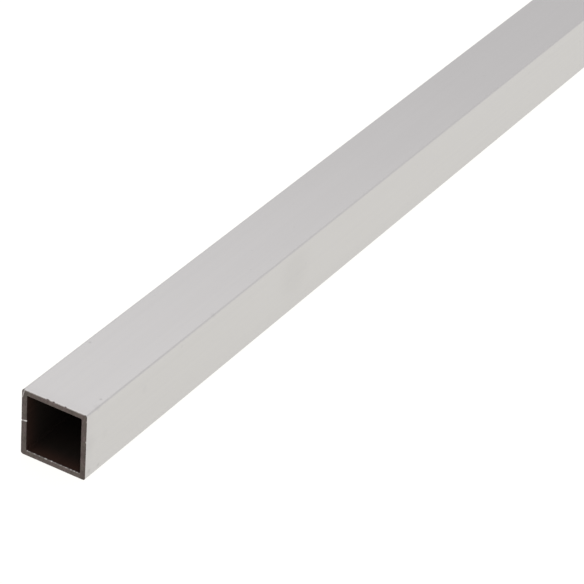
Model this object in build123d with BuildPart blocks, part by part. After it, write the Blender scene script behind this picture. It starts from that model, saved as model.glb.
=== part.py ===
"""Square aluminium tube, 25 x 25 mm with a 2 mm wall, sawn to a one-metre length.

The tube is one extrusion, so it is one solid. It lies on one of its flats, with its length
along Y. The origin is at floor level, under the middle of the tube.
"""

from build123d import *

import os

# The section, in millimetres
SIDE = 25.0  # outside, flat to flat
WALL = 2.0
OUTER_CORNER = 0.9  # radius of the four long corners outside
INNER_CORNER = 0.4  # radius of the four long corners inside

# The stock length and its two sawn ends, in millimetres
LENGTH = 1000.0
OUTER_BREAK = 0.1  # bevel left by brushing the saw burr off the outside of an end
INNER_BREAK = 0.2  # bevel at the mouth of the bore

bore = SIDE - 2 * WALL  # inside, flat to flat


def sawn_faces(part):
    """The two flat rings that the saw leaves."""
    return part.faces().filter_by(Axis.Y)


def outside_rims(part):
    """The edges round the outside of both ends."""
    return [edge for face in sawn_faces(part) for edge in face.outer_wire().edges()]


def bore_rims(part):
    """The edges round the mouth of the bore at both ends."""
    return [edge for face in sawn_faces(part) for edge in face.inner_wires()[0].edges()]


with BuildPart() as square_tube:
    with BuildSketch(Plane.XZ) as section:
        with Locations((0, SIDE / 2)):  # one flat rests at Z = 0
            RectangleRounded(SIDE, SIDE, OUTER_CORNER)
            RectangleRounded(bore, bore, INNER_CORNER, mode=Mode.SUBTRACT)
    extrude(amount=LENGTH / 2, both=True)
    chamfer(outside_rims(square_tube), OUTER_BREAK)
    chamfer(bore_rims(square_tube), INNER_BREAK)

square_tube.part.label = "square_tube"

os.makedirs("parts", exist_ok=True)
export_step(square_tube.part, "parts/square_tube.step")

metal = square_tube.part.volume
section_area = metal / LENGTH
print(f"square_tube: {metal:.0f} mm3 of metal, {section_area:.1f} mm2 of section on average")
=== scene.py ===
"""A square aluminium tube, a metre long: satin skin, sawn ends and a bore, both in painted shade, in a
white studio.
"""

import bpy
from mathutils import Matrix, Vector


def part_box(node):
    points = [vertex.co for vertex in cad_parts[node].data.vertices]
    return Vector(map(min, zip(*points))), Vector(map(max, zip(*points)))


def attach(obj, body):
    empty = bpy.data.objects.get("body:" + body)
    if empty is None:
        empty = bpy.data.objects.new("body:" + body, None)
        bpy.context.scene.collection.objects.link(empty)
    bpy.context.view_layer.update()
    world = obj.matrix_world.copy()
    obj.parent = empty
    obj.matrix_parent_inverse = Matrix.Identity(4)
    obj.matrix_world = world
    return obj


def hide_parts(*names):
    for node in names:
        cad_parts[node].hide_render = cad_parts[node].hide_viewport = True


bl_info = {
    "name": "Square aluminium tube",
    "version": (1, 0, 0),
    "blender": (4, 5, 0),
    "location": "3D View > Sidebar > Square tube",
    "description": "Makes a satin square tube with sawn ends, and a white studio to see it in",
    "category": "Object",
}

import math
import random
from typing import NamedTuple

import bmesh
import bpy
from bpy.props import FloatProperty, FloatVectorProperty, IntProperty, PointerProperty
from mathutils import Euler, Vector, noise

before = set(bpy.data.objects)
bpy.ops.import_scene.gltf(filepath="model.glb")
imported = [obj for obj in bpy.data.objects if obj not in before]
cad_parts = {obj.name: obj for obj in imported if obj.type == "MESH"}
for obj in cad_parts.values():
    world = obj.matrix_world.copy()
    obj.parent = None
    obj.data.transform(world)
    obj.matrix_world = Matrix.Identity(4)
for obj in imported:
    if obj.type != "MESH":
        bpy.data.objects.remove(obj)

NODE = "square_tube"  # the CAD node that the detailed tube stands for
PIECE = "satin_square_tube"
MM = 0.001
LOW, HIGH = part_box(NODE)
AXIS_HEIGHT = (LOW.z + HIGH.z) / 2
FLOOR_CLEAR = 0.05 * MM  # between the floor and the tube, so that neither shows through the other

# How finely the section is divided
FLAT_STEPS = 150
CORNER_STEPS = 10
BREAK_STEPS = 3
RING_STEPS = 14
END_ROWS = 8  # rows each side of a rim, closer together towards it
END_REACH = 6 * MM  # how far those rows go along the tube
ROW_RATIO = 0.64
LONG_ROWS = 16  # rows between the two end regions

# Sides of the square, anticlockwise for someone looking along +Y: across, up
SIDES = ("bottom", "right", "top", "left")
OUTWARD = (Vector((0, -1)), Vector((1, 0)), Vector((0, 1)), Vector((-1, 0)))

# The parts of the surface, which are the mesh's materials in this order
SKIN, SAWN, BORE = range(3)

# Where each part lies on the baking map, as shares of the map's side
BAKE_MAP = "OFBake"
MAP_MARGIN = 0.01
SKIN_BAND = (0.01, 0.40)
BORE_BAND = (0.42, 0.54)
RING_SIDE = 0.42
RING_CENTRES = (Vector((0.23, 0.77)), Vector((0.69, 0.77)))
END_SHARE = 0.03  # of the map's length, for the close rows of each end


# ---------------------------------------------------------------- settings


def metres(name, description, default):
    return FloatProperty(name=name, description=description, default=default, unit="LENGTH", precision=5)


def factor(name, description, default, high=1.0):
    return FloatProperty(
        name=name, description=description, default=default, min=0, max=high, subtype="FACTOR"
    )


def angle(name, description, degrees):
    turn = math.radians(degrees)
    return FloatProperty(name=name, description=description, default=turn, unit="ROTATION")


def position(name, description, default, size=3):
    return FloatVectorProperty(
        name=name, description=description, default=default, size=size, unit="LENGTH"
    )


def colour(name, description, default):
    return FloatVectorProperty(
        name=name, description=description, default=default, size=3, min=0, max=1, subtype="COLOR"
    )


class TubeSizes(bpy.types.PropertyGroup):
    """The section and length of the tube"""

    side: metres("Side", "Outside, flat to flat", HIGH.x - LOW.x)
    length: metres("Length", "From one sawn end to the other", HIGH.y - LOW.y)
    wall: metres("Wall", "Thickness of the metal", 2 * MM)
    outer_corner: metres("Outer corner", "Radius of the long corners outside", 0.9 * MM)
    inner_corner: metres("Inner corner", "Radius of the long corners inside", 0.4 * MM)
    outer_break: metres("Outer break", "Rounding of the outside edge of a sawn end", 0.1 * MM)
    inner_break: metres("Inner break", "Rounding of the mouth of the bore", 0.2 * MM)


class SawCut(bpy.types.PropertyGroup):
    """What the saw leaves on an end"""

    blade_at: position(
        "Blade centre", "Where the blade turned, across and up from the axis", (0.108, -0.020), size=2
    )
    mark_pitch: metres("Mark pitch", "Distance from one tooth mark to the next", 0.9 * MM)
    mark_depth: metres("Mark depth", "Depth of the tooth marks", 0.02 * MM)
    set_back: metres("Set back", "How far the sawn faces stay inside the stock length", 0.05 * MM)
    raggedness: factor("Raggedness", "How uneven the rims are", 0.6)
    seed: IntProperty(name="Seed", description="Changes the marks of the far end", default=7, min=0)


class TubeFinish(bpy.types.PropertyGroup):
    """Colours and gloss of the tube's surfaces"""

    satin: colour("Satin skin", "Anodised outside", (0.610, 0.600, 0.590))
    # Sawn face and its greener patches: dark painted shade on the sawn metal of the ends
    sawn: colour("Sawn face", "Tarnished metal of a sawn end", (0.128, 0.102, 0.096))
    sawn_green: colour("Sawn face, other patches", "Tarnish that turns greener", (0.120, 0.102, 0.090))
    # Painted glint: the bright colour drawn where burrs, cuts and rims catch the light
    glint: colour("Fresh metal", "Burrs and cuts that are still bright", (0.80, 0.78, 0.76))
    # Mouth and bore colours: brown painted shade, darker further into the tube
    mouth: colour("Mouth of the bore", "Dull inside, near an end", (0.037, 0.018, 0.0125))
    bore: colour("Bore", "Dull inside, further in", (0.018, 0.013, 0.0105))
    satin_roughness: factor("Satin roughness", "Roughness of the skin", 0.44)
    sawn_roughness: factor("Sawn roughness", "Roughness of the sawn faces", 0.55)
    bore_roughness: factor("Bore roughness", "Roughness of the bore", 0.75)
    bore_gloss: factor("Bore gloss", "How much the bore mirrors, where 0.5 is usual", 0.15)


class Studio(bpy.types.PropertyGroup):
    """Floor, dome, lamp and camera"""

    floor_radius: metres("Floor radius", "Radius of the round white floor", 40.0)
    floor_white: colour("Floor white", "Colour of the floor with no shade on it", (1.0, 0.993, 0.968))
    floor_glow: factor("Floor glow", "Share of the floor's white that no shadow reaches", 0.952)
    floor_shade: factor("Floor shade", "Share of the floor's white that a shadow takes away", 0.13)
    floor_bounce: factor("Floor bounce", "Share of its white that the floor throws back", 0.8)
    dome_tint: colour("Dome tint", "Colour of the light from the dome", (0.990, 0.980, 1.0))
    overhead: factor("Overhead light", "Brightness of the dome above", 0.828, 2.0)
    horizon: factor("Horizon light", "Brightness of the dome at eye level", 1.0, 2.0)
    white_band: angle("White band", "Angle above eye level over which the dome dims", 9.0)
    softbox_level: factor("Softbox light", "Brightness of the softbox's face", 0.42, 4.0)
    softbox_width: metres("Softbox width", "From side to side of the softbox", 0.58)
    softbox_height: metres("Softbox height", "From the lower to the upper edge of the softbox", 0.32)
    softbox_at: position("Softbox place", "Centre of the softbox", (-0.13, -0.21, 0.40))
    camera_at: position("Camera place", "Where the camera stands", (0.4211, -1.1078, 0.5397))
    heading: angle("Heading", "Turn of the camera to the left of +Y", 29.166)
    dip: angle("Dip", "How far the camera looks down", 32.389)
    roll: angle("Roll", "Roll of the camera about its own axis", 4.568)
    lens: FloatProperty(name="Lens", description="Focal length", default=176.55, unit="CAMERA")


# ---------------------------------------------------------------- marks on the ends

SHINE_REACH = 0.22 * MM  # how far from a rim its line of light shows
SHINE_BREAKS = 0.8 * MM  # from one break in a painted line of light to the next
BURR_REACH = 0.24 * MM  # how far from a rim a burr shows
BURR_HEIGHT = 0.14 * MM
RAG_REACH = 0.25 * MM  # how far from a rim its ragged line goes
RAG_PITCH = 0.7 * MM
OUTER_RAG = 0.10 * MM
INNER_RAG = 0.08 * MM
FAR_NICKS = 3  # on each side of the far end
FAR_BURRS = 4


def bump(distance, width):
    """A smooth hump, 1 at no distance and near 0 past twice the width."""
    return math.exp(-((distance / width) ** 2))


def ramp(value, start, end):
    """0 before start, 1 after end and smooth between them."""
    share = min(max((value - start) / (end - start), 0), 1)
    return share * share * (3 - 2 * share)


def uneven(place, pitch):
    """A smooth random value between about -1 and 1, which changes over about the pitch."""
    return noise.noise(place.to_3d() / pitch)


class Spot(NamedTuple):
    """A vertex of an end before its marks. Its place is across and up from the axis."""

    side: str
    place: Vector
    across: float  # from the outside, through the wall
    depth: float  # from the end, along the tube
    from_outer: float  # to the outer rim
    from_inner: float  # to the mouth of the bore

    @property
    def along(self):
        """Place along its own side of the square."""
        return self.place.x if self.side in ("top", "bottom") else self.place.y

    def from_rim(self, outside):
        """How far it is from the outer rim, or else from the mouth of the bore."""
        return self.from_outer if outside else self.from_inner

    def fade(self, full, none):
        """1 from the end down to the depth full, and 0 from the depth none on."""
        return 1 - ramp(self.depth, full, none)


class Detail:
    """How a vertex moves, how much painted glint it has and how much of its skin is off."""

    def __init__(self):
        self.inward = 0.0  # through the wall, towards the bore
        self.sink = 0.0  # away from the end, along the tube
        self.glint = 0.0  # painted glint: how much of the glint colour it gets
        self.chipped = 0.0  # how much of the skin is off

    # Adds painted glint.
    def brighten(self, amount):
        self.glint = max(self.glint, amount)

    def chip(self, amount):
        """Lays the sawn face bare, in its painted-shade colour, in place of any painted glint."""
        self.chipped = max(self.chipped, amount)
        self.glint *= 1 - amount


class Nick(NamedTuple):
    """A chip out of the outer rim."""

    side: str
    at: float
    width: float
    size: float

    def cut(self, spot, detail):
        if spot.side == self.side:
            bite = bump(spot.along - self.at, self.width) * bump(spot.from_outer, 1.6 * self.size)
            detail.inward += 0.3 * self.size * bite
            detail.sink += 0.7 * self.size * bite
            detail.chip(ramp(bite, 0.10, 0.40))


class Burr(NamedTuple):
    """A crumb of metal that hangs on the mouth of the bore or the outer rim, with a painted glint on it.
    """

    side: str
    at: float
    width: float
    shine: float
    outside: bool = False

    def cut(self, spot, detail):
        if spot.side == self.side:
            swell = bump(spot.along - self.at, self.width)
            swell *= bump(spot.from_rim(self.outside), BURR_REACH)
            if not self.outside:
                detail.inward += BURR_HEIGHT * swell
            detail.brighten(self.shine * ramp(swell, 0.10, 0.60))


class RimShine(NamedTuple):
    """A line of light along the mouth of the bore or the outer rim."""

    side: str
    shine: float
    broken: float  # how much its light comes and goes
    outside: bool = False

    def cut(self, spot, detail):
        if spot.side == self.side:
            # the painted line of light comes and goes along the rim
            shine_strength = 1 + self.broken * uneven(Vector((spot.along, 0)), SHINE_BREAKS)
            detail.brighten(self.shine * max(shine_strength, 0) * bump(spot.from_rim(self.outside), SHINE_REACH))


class Knock(NamedTuple):
    """A corner of an end pushed in, so that it is rounder than the rest of the tube."""

    across: int  # -1 left, 1 right
    up: int
    size: float

    def cut(self, spot, detail):
        corner = Vector((self.across, self.up)) * (HIGH.x - LOW.x) / 2
        push = bump((spot.place - corner).length, 1.5 * MM) * spot.fade(0, 2.5 * MM)
        detail.inward += self.size * push * (1 - ramp(spot.across, 0.5 * MM, 2 * MM))


class Crease(NamedTuple):
    """A painted highlight along a line over a corner of the sawn face, with no skin left past it.

    The corner is on the right for someone who goes from start to end.
    """

    start: Vector
    end: Vector
    shine: float

    def cut(self, spot, detail):
        line = self.end - self.start
        arm = spot.place - self.start
        share = arm.dot(line) / line.length_squared
        beyond = arm.dot(Vector((line.y, -line.x)).normalized())
        beside = ramp(share, -0.1, 0.1) * (1 - ramp(share, 0.9, 1.1))
        # dull: skin gone, in the sawn face's painted-shade colour; bright: the painted highlight
        dull = ramp(beyond, 0, 0.2 * MM) * beside
        bright = bump(beyond, 0.12 * MM) * beside
        detail.chip(dull * spot.fade(0.3 * MM, 0.8 * MM))
        detail.brighten(self.shine * bright * spot.fade(0.1 * MM, 0.5 * MM))


class Scratch(NamedTuple):
    """A cut right across one wall, with a painted highlight that is brightest at the bore."""

    side: str
    at: float  # where it leaves the outer rim
    lean: float  # how far it moves along for each metre across
    width: float
    depth: float

    def cut(self, spot, detail):
        if spot.side == self.side:
            away = spot.along - self.at - self.lean * spot.across
            gash = bump(away, self.width) * spot.fade(0.1 * MM, 0.5 * MM)
            detail.sink += self.depth * gash
            # painted highlight, stronger towards the bore
            shine = 0.35 + 0.55 * ramp(spot.across, 0.3 * MM, 1.5 * MM)
            detail.brighten(shine * ramp(gash, 0.2, 0.7))


def near_marks():
    """The marks of the near end, each where handling and the saw left it, with their painted glints."""
    return [
        RimShine("top", 0.62, 0.4, outside=True),
        RimShine("bottom", 0.20, 1.6),
        Nick("top", -2.5 * MM, 0.50 * MM, 0.13 * MM),
        Nick("top", -0.25 * MM, 0.34 * MM, 0.14 * MM),
        Nick("top", 4.3 * MM, 0.30 * MM, 0.14 * MM),
        Crease(Vector((-11.45, 12.6)) * MM, Vector((-12.25, 9.4)) * MM, 0.65),
        Scratch("left", 0.42 * MM, 0.20, 0.26 * MM, 0.20 * MM),
        Burr("bottom", -10.0 * MM, 0.26 * MM, 0.62),
        Burr("bottom", -9.3 * MM, 0.30 * MM, 0.30),
        Burr("bottom", -7.15 * MM, 0.40 * MM, 0.46),
        Burr("bottom", -5.2 * MM, 0.30 * MM, 0.36),
        Burr("bottom", -2.75 * MM, 0.60 * MM, 0.70),
        Burr("bottom", -0.45 * MM, 0.38 * MM, 0.88),
        Burr("bottom", 1.1 * MM, 0.36 * MM, 0.30),
        Burr("bottom", 3.2 * MM, 0.50 * MM, 0.32),
        Burr("bottom", 5.2 * MM, 0.55 * MM, 0.44),
        Burr("bottom", 7.1 * MM, 0.30 * MM, 0.70),
        Burr("bottom", 8.35 * MM, 0.28 * MM, 0.72),
        Burr("bottom", 9.45 * MM, 0.34 * MM, 0.42),
        Burr("right", 2.35 * MM, 0.40 * MM, 0.40, outside=True),
        Burr("right", 10.2 * MM, 0.30 * MM, 0.25, outside=True),
    ]


def far_marks(seed, reach):
    """Marks for the far end, drawn at random as far as reach each way along every side."""
    rng = random.Random(seed)
    # the rim shines and burrs here bring painted glints
    marks = [Knock(1, 1, 0.25 * MM), RimShine("bottom", 0.15, 1.2), RimShine("right", 0.10, 1.2)]
    for side in SIDES:
        for _ in range(FAR_NICKS):
            marks.append(Nick(side, rng.uniform(-reach, reach), 0.3 * MM, rng.uniform(0.10, 0.2) * MM))
        for _ in range(FAR_BURRS):
            marks.append(Burr(side, rng.uniform(-reach, reach), 0.36 * MM, rng.uniform(0.1, 0.4)))
    return marks


def tooth_marks(saw, place):
    """Height of the arcs that the saw teeth leave on the sawn face."""
    from_centre = (place - Vector(saw.blade_at)).length
    wander = 0.35 * uneven(place, 4 * MM)
    arcs = math.sin(2 * math.pi * (from_centre / saw.mark_pitch + wander))
    grain = uneven(place, 0.5 * MM)
    return saw.mark_depth * 0.6 * (arcs + grain)


def detail_at(saw, marks, spot):
    """Every mark's share in one vertex of an end."""
    detail = Detail()
    detail.sink += spot.fade(0.1 * MM, 0.8 * MM) * (saw.set_back + tooth_marks(saw, spot.place))
    ragged = saw.raggedness * uneven(spot.place, RAG_PITCH)
    detail.sink += max(ragged, 0) * OUTER_RAG * bump(spot.from_outer, RAG_REACH)
    detail.inward += max(-ragged, 0) * INNER_RAG * bump(spot.from_inner, RAG_REACH)
    for mark in marks:
        mark.cut(spot, detail)
    return detail


# ---------------------------------------------------------------- the tube's mesh


class SectionPoint(NamedTuple):
    """A point of the outside and the one that matches it in the bore."""

    side: str
    outer: Vector
    inner: Vector


def section_points(sizes):
    """Matching points round the outside and the bore, across and up from the axis."""
    outer_half = sizes.side / 2
    inner_half = outer_half - sizes.wall
    outer_flat = outer_half - sizes.outer_corner
    inner_flat = inner_half - sizes.inner_corner
    points = []
    for number, side in enumerate(SIDES):
        out, along = OUTWARD[number], OUTWARD[(number + 1) % 4]
        for step in range(FLAT_STEPS):
            reach = 2 * step / FLAT_STEPS - 1
            outer = out * outer_half + along * outer_flat * reach
            inner = out * inner_half + along * inner_flat * reach
            points.append(SectionPoint(side, outer, inner))
        for step in range(CORNER_STEPS):
            turn = math.radians(90 * step / CORNER_STEPS)
            facing = out * math.cos(turn) + along * math.sin(turn)
            outer = (out + along) * outer_flat + facing * sizes.outer_corner
            inner = (out + along) * inner_flat + facing * sizes.inner_corner
            points.append(SectionPoint(side, outer, inner))
    return points


def rounded_rim(size):
    """Steps over a rim, from the side of the wall to its end: how far across each is, and how deep."""
    turns = [math.radians(90 * step / BREAK_STEPS) for step in range(BREAK_STEPS + 1)]
    return [(size * (1 - math.cos(turn)), size * (1 - math.sin(turn))) for turn in turns]


def end_rows(sizes):
    """Rows from the skin over one end into the bore: how far across the wall each is, and how deep."""
    depths = [END_REACH * ROW_RATIO**row for row in range(END_ROWS)]
    flat = sizes.wall - sizes.outer_break - sizes.inner_break
    rows = [(0, depth) for depth in depths]
    rows += rounded_rim(sizes.outer_break)
    rows += [(sizes.outer_break + flat * step / RING_STEPS, 0) for step in range(1, RING_STEPS)]
    rows += [(sizes.wall - across, depth) for across, depth in reversed(rounded_rim(sizes.inner_break))]
    rows += [(sizes.wall, depth) for depth in reversed(depths)]
    return rows


class Ring(NamedTuple):
    """One row of vertices round the tube."""

    across: float
    y: float  # of the end that it belongs to, or its own
    depth: float
    end: int  # 0 near, 1 far, None between them
    part: int  # what the faces from this row to the next are


def tube_rings(sizes):
    """Rows out of the bore, over the near end, along the outside, over the far end and back inside."""
    rows = end_rows(sizes)
    rim = END_ROWS  # the first row of the outer rim
    mouth = len(rows) - END_ROWS - 1  # the last row of the inner rim
    near, far = -sizes.length / 2, sizes.length / 2
    rings = []
    for index in reversed(range(len(rows))):
        part = BORE if index > mouth else SAWN if index > rim else SKIN
        rings.append(Ring(rows[index][0], near, rows[index][1], 0, part))
    span = sizes.length - 2 * END_REACH
    for step in range(1, LONG_ROWS):
        rings.append(Ring(0, near + END_REACH + span * step / LONG_ROWS, 0, None, SKIN))
    for index in range(len(rows)):
        part = SKIN if index < rim else SAWN if index < mouth else BORE
        rings.append(Ring(rows[index][0], far, rows[index][1], 1, part))
    for step in range(1, LONG_ROWS):
        rings.append(Ring(sizes.wall, far - END_REACH - span * step / LONG_ROWS, 0, None, BORE))
    return rings


def tube_surface(sizes, saw, points, rings):
    """Each vertex's place with the marks of the ends, its painted glint and how chipped its metal is."""
    reach = sizes.side / 2 - sizes.wall
    marks = (near_marks(), far_marks(saw.seed, reach))
    places, glint, chipped = [], [], []
    for ring in rings:
        towards_middle = 0 if ring.end is None else 1 - 2 * ring.end
        from_outer = math.hypot(ring.across, ring.depth)
        from_inner = math.hypot(sizes.wall - ring.across, ring.depth)
        for point in points:
            detail = Detail()
            if ring.end is not None:
                flat = point.outer.lerp(point.inner, ring.across / sizes.wall)
                spot = Spot(point.side, flat, ring.across, ring.depth, from_outer, from_inner)
                detail = detail_at(saw, marks[ring.end], spot)
            flat = point.outer.lerp(point.inner, (ring.across + detail.inward) / sizes.wall)
            depth = max(ring.depth + detail.sink, 0)
            places.append((flat.x, ring.y + towards_middle * depth, flat.y + AXIS_HEIGHT))
            glint.append(detail.glint)
            chipped.append(detail.chipped)
    return places, glint, chipped


def tube_faces(points, rings):
    """A quad for each step round each row, joined to the next row and, at the last, to the first."""
    around = len(points)
    faces = []
    for row in range(len(rings)):
        after = (row + 1) % len(rings)
        this_row, next_row = row * around, after * around
        for step in range(around):
            other = (step + 1) % around
            faces.append((this_row + step, this_row + other, next_row + other, next_row + step))
    return faces


def shares_round(points):
    """How far round the outside each point is, from 0, with 1 for the first point met again."""
    walk = [0.0]
    for step, point in enumerate(points):
        walk.append(walk[-1] + (points[(step + 1) % len(points)].outer - point.outer).length)
    return [distance / walk[-1] for distance in walk]


def map_place(sizes, ring, part, point, share):
    """Where a vertex lies on the baking map: in the skin's strip, the bore's strip or an end's ring."""
    if part == SAWN:
        unfolded = ring.across + math.copysign(ring.depth, ring.across - sizes.wall / 2)
        flat = point.outer.lerp(point.inner, unfolded / sizes.wall)
        return RING_CENTRES[ring.end] + flat * RING_SIDE / (sizes.side + 2 * sizes.outer_break)
    if ring.end is None:
        gone = (ring.y + sizes.length / 2 - END_REACH) / (sizes.length - 2 * END_REACH)
        along = END_SHARE + (1 - 2 * END_SHARE) * gone
    else:
        along = abs(ring.end - END_SHARE * ring.depth / END_REACH)
    start, end = SKIN_BAND if part == SKIN else BORE_BAND
    return Vector((MAP_MARGIN + (1 - 2 * MAP_MARGIN) * along, start + (end - start) * share))


def lay_out_map(mesh, sizes, points, rings):
    """Lays the surface out flat for baking, with most of the map for what shows most."""
    walk = list(zip(points + points[:1], shares_round(points)))
    corners = []
    for row, ring in enumerate(rings):
        after = rings[(row + 1) % len(rings)]
        start = [map_place(sizes, ring, ring.part, point, share) for point, share in walk]
        end = [map_place(sizes, after, ring.part, point, share) for point, share in walk]
        for step in range(len(points)):
            for corner in (start[step], start[step + 1], end[step + 1], end[step]):
                corners.extend(corner)
    mesh.uv_layers.new(name=BAKE_MAP).uv.foreach_set("vector", corners)


def check_sizes(sizes):
    """Stops with a plain message where the sizes leave no room for a part of the tube."""
    half = sizes.side / 2
    if half - sizes.wall <= sizes.inner_corner or half <= sizes.outer_corner:
        raise ValueError("The wall and the corners leave no room for the flats of the section.")
    if sizes.wall <= sizes.outer_break + sizes.inner_break:
        raise ValueError("The wall is thinner than the breaks of its two rims.")
    if sizes.length <= 2 * END_REACH:
        raise ValueError("The tube is shorter than its two finished ends.")


def tube_mesh(sizes, saw):
    """The whole tube as one closed mesh of quads, with its marks and what shows where they are."""
    check_sizes(sizes)
    points = section_points(sizes)
    rings = tube_rings(sizes)
    places, glint, chipped = tube_surface(sizes, saw, points, rings)
    faces = tube_faces(points, rings)
    mesh = bpy.data.meshes.new(PIECE)
    mesh.from_pydata(places, [], faces)
    lay_out_map(mesh, sizes, points, rings)
    mesh.polygons.foreach_set("use_smooth", [True] * len(faces))
    mesh.polygons.foreach_set("material_index", [ring.part for ring in rings for _ in points])
    # glint holds the painted glints, chipped holds where the skin is off
    for name, values in (("glint", glint), ("chipped", chipped)):
        mesh.attributes.new(name, "FLOAT", "POINT").data.foreach_set("value", values)
    mesh.validate()
    mesh.update()
    return mesh


# ---------------------------------------------------------------- materials


class Recipe:
    """A material under construction: short ways to add nodes and join them."""

    def __init__(self, name, roughness, metallic=1.0):
        self.material = bpy.data.materials.new(name)
        self.material.use_nodes = True
        self.tree = self.material.node_tree
        self.shader = self.tree.nodes["Principled BSDF"]
        self.shader.inputs["Metallic"].default_value = metallic
        self.shader.inputs["Roughness"].default_value = roughness
        self.place = self.tree.nodes.new("ShaderNodeTexCoord").outputs["Object"]
        parts = self.tree.nodes.new("ShaderNodeSeparateXYZ")
        self.put(parts.inputs[0], self.place)
        self.x, self.y, self.z = parts.outputs

    def put(self, socket, value):
        """Sets an input, or links it where value is an output."""
        if isinstance(value, bpy.types.NodeSocket):
            self.tree.links.new(value, socket)
        elif socket.type == "RGBA":
            socket.default_value = (*value, 1)
        else:
            socket.default_value = value

    def math(self, operation, *values):
        """One of Blender's sums, of values or patterns."""
        node = self.tree.nodes.new("ShaderNodeMath")
        node.operation = operation
        for socket, value in zip(node.inputs, values):
            self.put(socket, value)
        return node.outputs[0]

    def fit(self, value, low, high, to_low=0.0, to_high=1.0):
        """Value from low to high, smoothly, as to_low to to_high."""
        node = self.tree.nodes.new("ShaderNodeMapRange")
        node.interpolation_type = "SMOOTHSTEP"
        names = ("Value", "From Min", "From Max", "To Min", "To Max")
        for name, amount in zip(names, (value, low, high, to_low, to_high)):
            self.put(node.inputs[name], amount)
        return node.outputs[0]

    def vary(self, value, *patterns):
        """Value with each cloudy pattern added to it, up and down by the pattern's spread."""
        for pattern, spread in patterns:
            value = self.math("ADD", value, self.fit(pattern, 0.3, 0.7, -spread, spread))
        return value

    def total(self, first, *others):
        """All of them added up."""
        for other in others:
            first = self.math("ADD", first, other)
        return first

    def mix(self, share, first, second):
        """First colour, with that share of the second in its place."""
        node = self.tree.nodes.new("ShaderNodeMix")
        node.data_type = "RGBA"
        self.put(node.inputs["Factor"], share)
        colours = [socket for socket in node.inputs if socket.type == "RGBA"]
        for socket, value in zip(colours, (first, second)):
            self.put(socket, value)
        return next(socket for socket in node.outputs if socket.type == "RGBA")

    def shade(self, base, amount):
        """Base colour times amount, which may be a pattern about 1."""
        return self.vector("SCALE", base, Scale=amount)

    def vector(self, operation, *values, **named):
        """One of Blender's sums, of vectors or colours."""
        node = self.tree.nodes.new("ShaderNodeVectorMath")
        node.operation = operation
        for socket, value in zip(node.inputs, values):
            self.put(socket, value)
        for name, value in named.items():
            self.put(node.inputs[name], value)
        return node.outputs[0]

    def combine(self, *values):
        """A vector made of three values."""
        node = self.tree.nodes.new("ShaderNodeCombineXYZ")
        for socket, value in zip(node.inputs, values):
            self.put(socket, value)
        return node.outputs[0]

    def distance(self, point):
        """How far each place is from the point."""
        node = self.tree.nodes.new("ShaderNodeVectorMath")
        node.operation = "DISTANCE"
        self.put(node.inputs[0], self.place)
        self.put(node.inputs[1], point)
        return node.outputs["Value"]

    def noise(self, scale, detail=2.0, place=None):
        """Cloudy pattern from 0 to 1, with so many features to the metre on each axis."""
        node = self.tree.nodes.new("ShaderNodeTexNoise")
        self.put(node.inputs["Vector"], self.vector("MULTIPLY", place or self.place, scale))
        node.inputs["Scale"].default_value = 1.0
        node.inputs["Detail"].default_value = detail
        return node.outputs["Fac"]

    def mask(self, name):
        """What the mesh holds under that name for each vertex."""
        node = self.tree.nodes.new("ShaderNodeAttribute")
        node.attribute_name = name
        return node.outputs["Fac"]

    def relief(self, *heights):
        """A bump from pairs of a height pattern and its depth in metres."""
        normal = None
        for height, depth in heights:
            node = self.tree.nodes.new("ShaderNodeBump")
            node.inputs["Distance"].default_value = depth
            self.put(node.inputs["Height"], height)
            if normal is not None:
                self.put(node.inputs["Normal"], normal)
            normal = node.outputs["Normal"]
        self.put(self.shader.inputs["Normal"], normal)

    def finish(self, base, roughness):
        """Gives the shader its colour and roughness, and hands over the material."""
        self.put(self.shader.inputs["Base Color"], base)
        self.put(self.shader.inputs["Roughness"], roughness)
        return self.material


class Smudge(NamedTuple):
    """A small dull place on the skin."""

    at: Vector  # across from the middle, along from the near end and up from the underside
    reach: float
    shade: float  # the share of the light that it takes away


SMUDGES = (
    Smudge(Vector((10.7, 10.2, 25.0)) * MM, 0.7 * MM, 0.20),
    Smudge(Vector((-10.6, 34.6, 25.0)) * MM, 0.8 * MM, 0.14),
    Smudge(Vector((12.0, 6.2, 24.6)) * MM, 2.0 * MM, 0.05),
    Smudge(Vector((12.5, 2.2, 2.6)) * MM, 1.3 * MM, 0.12),
    Smudge(Vector((12.5, 7.2, 2.2)) * MM, 1.1 * MM, 0.09),
    Smudge(Vector((12.5, 32.5, 17.2)) * MM, 2.2 * MM, 0.03),
    Smudge(Vector((12.5, 2.6, 13.0)) * MM, 4.5 * MM, 0.03),
    Smudge(Vector((12.5, 10.4, 12.3)) * MM, 2.5 * MM, 0.025),
    Smudge(Vector((12.2, 73.0, 24.9)) * MM, 1.6 * MM, 0.06),
    Smudge(Vector((12.5, 125.0, 15.0)) * MM, 13.0 * MM, 0.036),
)


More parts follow.
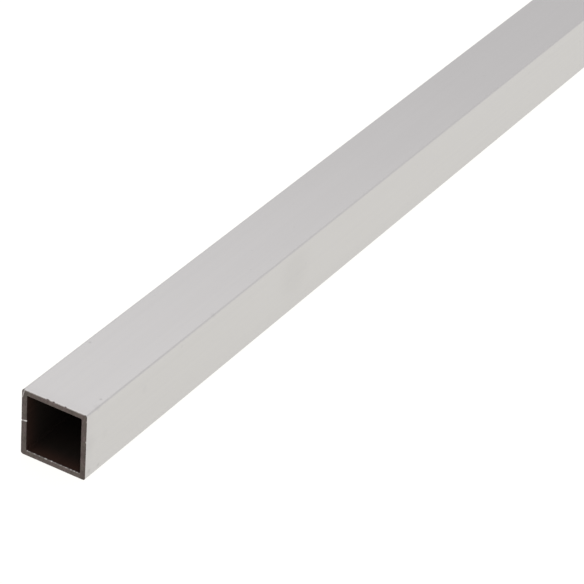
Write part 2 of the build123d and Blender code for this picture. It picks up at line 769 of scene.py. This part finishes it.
def satin_material(finish, sizes):
    """Anodised skin: die lines along the tube, an etched grain, soft clouds and handled ends, lighter at
    the rim.
    """
    skin = Recipe("satin_skin", finish.satin_roughness)
    die_lines = skin.noise((700, 5, 700), 3)
    hair_lines = skin.noise((3200, 14, 3200), 2)
    clouds = skin.noise((22, 9, 22), 2)
    grain = skin.noise((2400, 2400, 2400), 2)
    specks = skin.fit(skin.noise((420, 420, 420), 1), 0.77, 0.81, 0, -0.05)

    from_end = skin.math("SUBTRACT", sizes.length / 2, skin.math("ABSOLUTE", skin.y))
    handled = skin.fit(from_end, 1.5 * MM, 5 * MM, 0.978, 1)
    # lighter within 0.9 mm of each end
    lighter_rim = skin.fit(from_end, 0.5 * MM, 0.9 * MM, 0.02, 0)
    tone = skin.total(handled, lighter_rim, specks)
    tone = skin.vary(tone, (die_lines, 0.007), (clouds, 0.008), (hair_lines, 0.006))
    for smudge in SMUDGES:
        away = skin.distance(smudge.at - Vector((0, sizes.length / 2, 0)))
        tone = skin.total(tone, skin.fit(away, 0.2 * smudge.reach, smudge.reach, -smudge.shade, 0))
    base = skin.shade(tuple(finish.satin), tone)
    # where the skin is chipped off, the sawn face's painted-shade colour
    base = skin.mix(skin.mask("chipped"), base, tuple(finish.sawn))
    # painted glints on the rims, burrs and cuts
    base = skin.mix(skin.mask("glint"), base, tuple(finish.glint))
    roughness = skin.vary(finish.satin_roughness, (hair_lines, 0.03), (clouds, 0.02))
    skin.relief((grain, 0.004 * MM), (die_lines, 0.005 * MM))
    return skin.finish(base, roughness)


def sawn_material(finish, sizes, saw):
    """Sawn metal in painted shade: arcs from the blade, greener patches, darker side walls and painted
    glints.
    """
    face = Recipe("sawn_face", finish.sawn_roughness)
    blade_x, blade_up = saw.blade_at
    across = face.math("SUBTRACT", face.x, blade_x)
    up = face.math("SUBTRACT", face.z, AXIS_HEIGHT + blade_up)
    squares = face.total(face.math("MULTIPLY", across, across), face.math("MULTIPLY", up, up))
    from_blade = face.math("SQRT", squares)
    arcs = face.noise((1500, 400, 170), 3, face.combine(from_blade, face.y, face.z))
    patches = face.noise((260, 260, 260), 2)
    mottle = face.noise((1000, 1000, 1000), 2)
    grain = face.noise((3800, 3800, 3800), 2)
    greener = face.fit(face.noise((340, 340, 340), 2), 0.42, 0.58)
    bore_half = sizes.side / 2 - sizes.wall
    from_middle = face.math("ABSOLUTE", face.x)
    walls = face.fit(from_middle, bore_half - 0.3 * MM, bore_half + 0.3 * MM, 1.05, 0.94)
    tone = face.vary(walls, (arcs, 0.10), (patches, 0.10), (mottle, 0.17))
    # dark painted shade in two tints, for the shaded sawn face
    base = face.mix(greener, tuple(finish.sawn), tuple(finish.sawn_green))
    base = face.shade(base, tone)
    # painted glints on the burrs, cuts and crease
    base = face.mix(face.mask("glint"), base, tuple(finish.glint))
    roughness = face.vary(finish.sawn_roughness, (mottle, 0.06))
    face.relief((grain, 0.006 * MM), (arcs, 0.02 * MM))
    return face.finish(base, roughness)


def bore_material(finish, sizes):
    """Inside in brown painted shade: drawn lines, cloudy patches, darker away from the mouths and
    painted light on the floor.
    """
    bore = Recipe("painted_shade_bore", finish.bore_roughness, metallic=0.0)
    bore.shader.inputs["Specular IOR Level"].default_value = finish.bore_gloss
    lines = bore.noise((900, 6, 900), 3)
    film = bore.noise((90, 30, 90), 3)
    from_end = bore.math("SUBTRACT", sizes.length / 2, bore.math("ABSOLUTE", bore.y))
    # painted light: the floor of the bore lighter, where more light falls on it
    floor_height = LOW.z + sizes.wall
    painted_floor_light = bore.fit(bore.z, floor_height + 0.2 * MM, floor_height + 6 * MM, 1.24, 1)
    tone = bore.vary(painted_floor_light, (lines, 0.10), (film, 0.12))
    # painted shade: darker from each mouth inwards
    base = bore.mix(bore.fit(from_end, 0, 8 * MM), tuple(finish.mouth), tuple(finish.bore))
    base = bore.shade(base, tone)
    # painted glints on the burrs at the mouth
    base = bore.mix(bore.mask("glint"), base, tuple(finish.glint))
    roughness = bore.vary(finish.bore_roughness, (film, 0.06))
    bore.relief((lines, 0.01 * MM))
    return bore.finish(base, roughness)


# ---------------------------------------------------------------- the studio


def seen_or_mirrored(tree):
    """1 for what the camera sees, straight or in a reflection, and 0 for other light."""
    path = tree.nodes.new("ShaderNodeLightPath")
    either = path.outputs["Is Camera Ray"]
    for name in ("Is Glossy Ray", "Is Transmission Ray"):
        node = tree.nodes.new("ShaderNodeMath")
        node.operation = "MAXIMUM"
        tree.links.new(either, node.inputs[0])
        tree.links.new(path.outputs[name], node.inputs[1])
        either = node.outputs[0]
    return either


def floor_material(studio):
    """White, with the tube's shadow in it, for the camera and in reflections, and pale for other light.

    It can be seen through from below, which shows the underside of the tube.
    """
    material = bpy.data.materials.new("white_floor")
    material.use_nodes = True
    tree = material.node_tree
    tree.nodes.clear()
    new, link = tree.nodes.new, tree.links.new
    white = Vector(studio.floor_white)
    pale = new("ShaderNodeBsdfDiffuse")
    pale.inputs["Color"].default_value = (*white * studio.floor_bounce, 1)
    shaded = new("ShaderNodeBsdfDiffuse")
    shaded.inputs["Color"].default_value = (*white * studio.floor_shade, 1)
    glow = new("ShaderNodeEmission")
    glow.inputs["Color"].default_value = (*white, 1)
    glow.inputs["Strength"].default_value = studio.floor_glow
    both = new("ShaderNodeAddShader")
    link(shaded.outputs[0], both.inputs[0])
    link(glow.outputs[0], both.inputs[1])
    pick = new("ShaderNodeMixShader")
    link(seen_or_mirrored(tree), pick.inputs[0])
    link(pale.outputs[0], pick.inputs[1])
    link(both.outputs[0], pick.inputs[2])
    from_below = new("ShaderNodeMixShader")
    link(new("ShaderNodeNewGeometry").outputs["Backfacing"], from_below.inputs[0])
    link(pick.outputs[0], from_below.inputs[1])
    link(new("ShaderNodeBsdfTransparent").outputs[0], from_below.inputs[2])
    link(from_below.outputs[0], new("ShaderNodeOutputMaterial").inputs["Surface"])
    return material


def make_floor(scene, studio):
    """A round white floor, just under the tube."""
    bm = bmesh.new()
    bmesh.ops.create_circle(bm, cap_ends=True, segments=96, radius=studio.floor_radius)
    mesh = bpy.data.meshes.new("floor")
    bm.to_mesh(mesh)
    bm.free()
    mesh.materials.append(floor_material(studio))
    floor = bpy.data.objects.new("floor", mesh)
    floor.location.z = LOW.z - FLOOR_CLEAR
    scene.collection.objects.link(floor)


def make_dome(scene, studio):
    """Light from all round: white at eye level, where it meets the floor, and a little dimmer above."""
    world = bpy.data.worlds.new("studio_dome")
    world.use_nodes = True
    scene.world = world
    tree = world.node_tree
    dome = tree.nodes["Background"]
    parts = tree.nodes.new("ShaderNodeSeparateXYZ")
    tree.links.new(tree.nodes.new("ShaderNodeTexCoord").outputs["Generated"], parts.inputs[0])
    height = tree.nodes.new("ShaderNodeMapRange")
    height.interpolation_type = "SMOOTHSTEP"
    height.inputs["From Max"].default_value = math.sin(studio.white_band)
    height.inputs["To Min"].default_value = studio.horizon
    height.inputs["To Max"].default_value = studio.overhead
    tree.links.new(parts.outputs["Z"], height.inputs["Value"])
    tree.links.new(height.outputs["Result"], dome.inputs["Strength"])
    dome.inputs["Color"].default_value = (*studio.dome_tint, 1)


def make_softbox(scene, studio):
    """A soft lamp above the tube, which faces its near end."""
    lamp = bpy.data.lights.new("softbox", "AREA")
    lamp.shape = "RECTANGLE"
    lamp.size = studio.softbox_width
    lamp.size_y = studio.softbox_height
    face = studio.softbox_width * studio.softbox_height
    lamp.energy = studio.softbox_level * math.pi * face
    softbox = bpy.data.objects.new("softbox", lamp)
    softbox.location = studio.softbox_at
    softbox.visible_camera = False
    target = Vector((0, LOW.y, HIGH.z))
    softbox.rotation_euler = (target - softbox.location).to_track_quat("-Z", "Y").to_euler()
    scene.collection.objects.link(softbox)


def make_camera(scene, studio):
    """A camera that looks down on the near end, from in front of it and to its right."""
    data = bpy.data.cameras.new("camera")
    data.lens = studio.lens
    data.sensor_width = 36  # millimetres, as the lens is
    camera = bpy.data.objects.new("camera", data)
    camera.location = studio.camera_at
    aim = Euler((math.pi / 2 - studio.dip, 0, studio.heading)).to_matrix()
    roll = Euler((0, 0, studio.roll)).to_matrix()
    camera.rotation_euler = (aim @ roll).to_euler()
    scene.collection.objects.link(camera)
    scene.camera = camera


# ---------------------------------------------------------------- operators and panel


class OBJECT_OT_square_tube(bpy.types.Operator):
    """Make the tube with its sawn ends, on the frame's body"""

    bl_idname = "object.square_tube"
    bl_label = "Square tube"

    def execute(self, context):
        scene = context.scene
        mesh = tube_mesh(scene.tube_sizes, scene.saw_cut)
        mesh.materials.append(satin_material(scene.tube_finish, scene.tube_sizes))
        mesh.materials.append(sawn_material(scene.tube_finish, scene.tube_sizes, scene.saw_cut))
        mesh.materials.append(bore_material(scene.tube_finish, scene.tube_sizes))
        tube = bpy.data.objects.new(PIECE, mesh)
        scene.collection.objects.link(tube)
        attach(tube, "root")
        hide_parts(NODE)
        return {"FINISHED"}


class OBJECT_OT_tube_studio(bpy.types.Operator):
    """Set up the floor, the light and the camera"""

    bl_idname = "object.tube_studio"
    bl_label = "Studio"

    def execute(self, context):
        scene = context.scene
        make_floor(scene, scene.tube_studio)
        make_dome(scene, scene.tube_studio)
        make_softbox(scene, scene.tube_studio)
        make_camera(scene, scene.tube_studio)
        scene.view_settings.view_transform = "Standard"
        return {"FINISHED"}


class VIEW3D_PT_square_tube(bpy.types.Panel):
    """Lists the tube, the studio and their settings"""

    bl_idname = "VIEW3D_PT_square_tube"
    bl_label = "Square tube"
    bl_space_type = "VIEW_3D"
    bl_region_type = "UI"
    bl_category = "Square tube"

    def draw(self, context):
        for operator, groups in (
            (OBJECT_OT_square_tube, ("tube_sizes", "saw_cut", "tube_finish")),
            (OBJECT_OT_tube_studio, ("tube_studio",)),
        ):
            box = self.layout.box()
            box.operator(operator.bl_idname)
            for group in groups:
                settings = getattr(context.scene, group)
                for name in settings.__annotations__:
                    box.prop(settings, name)


GROUPS = {"tube_sizes": TubeSizes, "saw_cut": SawCut, "tube_finish": TubeFinish, "tube_studio": Studio}
CLASSES = (*GROUPS.values(), OBJECT_OT_square_tube, OBJECT_OT_tube_studio, VIEW3D_PT_square_tube)


def register():
    for item in CLASSES:
        bpy.utils.register_class(item)
    for name, group in GROUPS.items():
        setattr(bpy.types.Scene, name, PointerProperty(type=group))


def unregister():
    for name in GROUPS:
        delattr(bpy.types.Scene, name)
    for item in reversed(CLASSES):
        bpy.utils.unregister_class(item)


def main():
    """Makes the tube and the studio."""
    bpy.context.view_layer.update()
    register()
    bpy.ops.object.square_tube()
    bpy.ops.object.tube_studio()


if __name__ == "__main__":
    main()
